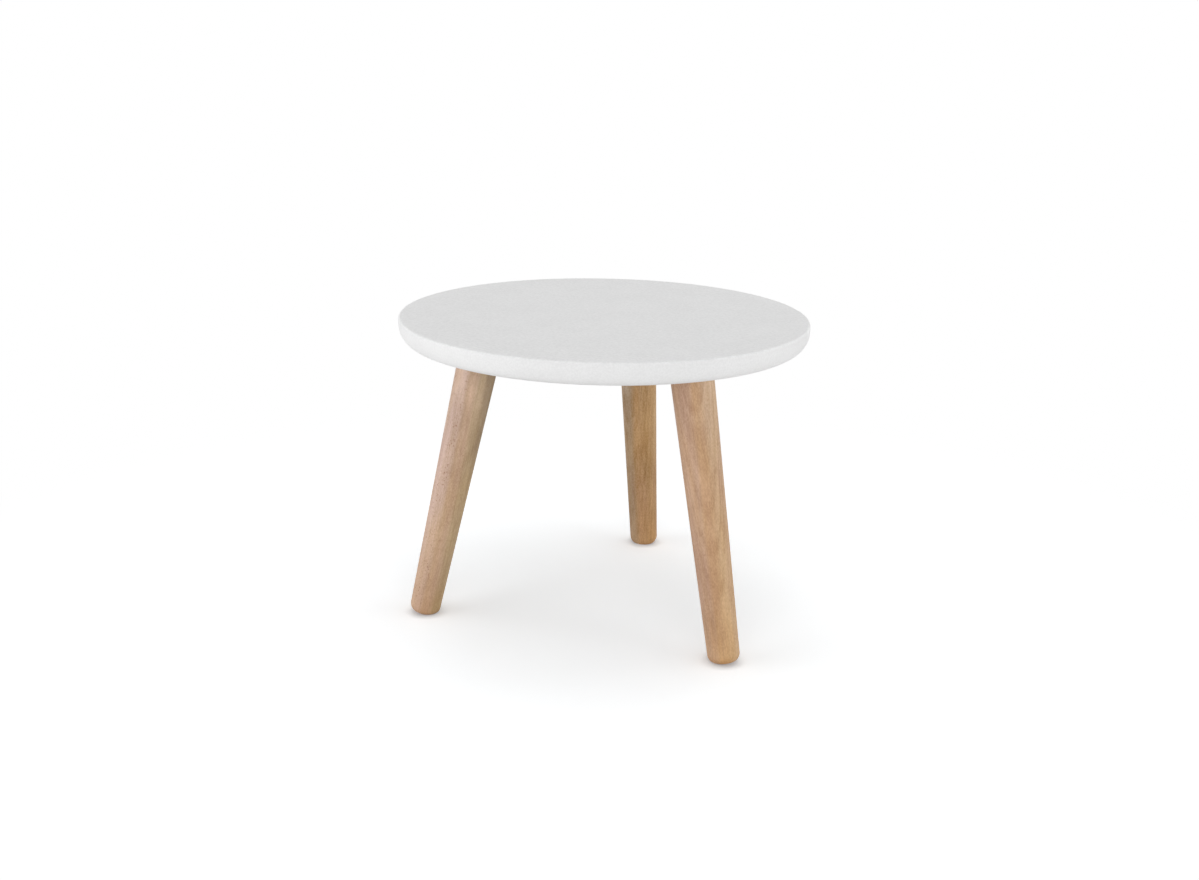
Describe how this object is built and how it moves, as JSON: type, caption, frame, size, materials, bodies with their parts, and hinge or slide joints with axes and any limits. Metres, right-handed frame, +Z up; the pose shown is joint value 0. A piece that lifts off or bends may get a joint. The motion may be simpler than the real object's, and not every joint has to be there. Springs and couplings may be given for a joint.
{
  "type": "side table",
  "caption": "Low round side table: a lacquered disc top with a soft lower edge on splayed, turned and tapered wooden legs, each bolted to an angled pressed plate.",
  "frame": {"origin": "on the floor, under the middle of the top", "axes": "+Z up, the top's axis; +Y from the middle towards the back leg; +X to the right of someone who faces +Y"},
  "size_m": [0.5, 0.5, 0.38],
  "materials": {
    "white_lacquer": "matte white lacquer on board",
    "oiled_wood": "light hardwood with a matte oil finish",
    "zinc_steel": "zinc plated pressed steel",
    "zinc_fixings": "zinc plated steel fixings"
  },
  "bodies": {
    "root": {"table_top": "white_lacquer", "leg_back": "oiled_wood", "mounting_plate_back": "zinc_steel", "plate_nut_back": "zinc_fixings", "hanger_bolt_back": "zinc_fixings", "plate_screw_back_1": "zinc_fixings", "plate_screw_back_2": "zinc_fixings", "plate_screw_back_3": "zinc_fixings", "plate_screw_back_4": "zinc_fixings", "leg_left": "oiled_wood", "mounting_plate_left": "zinc_steel", "plate_nut_left": "zinc_fixings", "hanger_bolt_left": "zinc_fixings", "plate_screw_left_1": "zinc_fixings", "plate_screw_left_2": "zinc_fixings", "plate_screw_left_3": "zinc_fixings", "plate_screw_left_4": "zinc_fixings", "leg_right": "oiled_wood", "mounting_plate_right": "zinc_steel", "plate_nut_right": "zinc_fixings", "hanger_bolt_right": "zinc_fixings", "plate_screw_right_1": "zinc_fixings", "plate_screw_right_2": "zinc_fixings", "plate_screw_right_3": "zinc_fixings", "plate_screw_right_4": "zinc_fixings"}
  },
  "joints": []
}
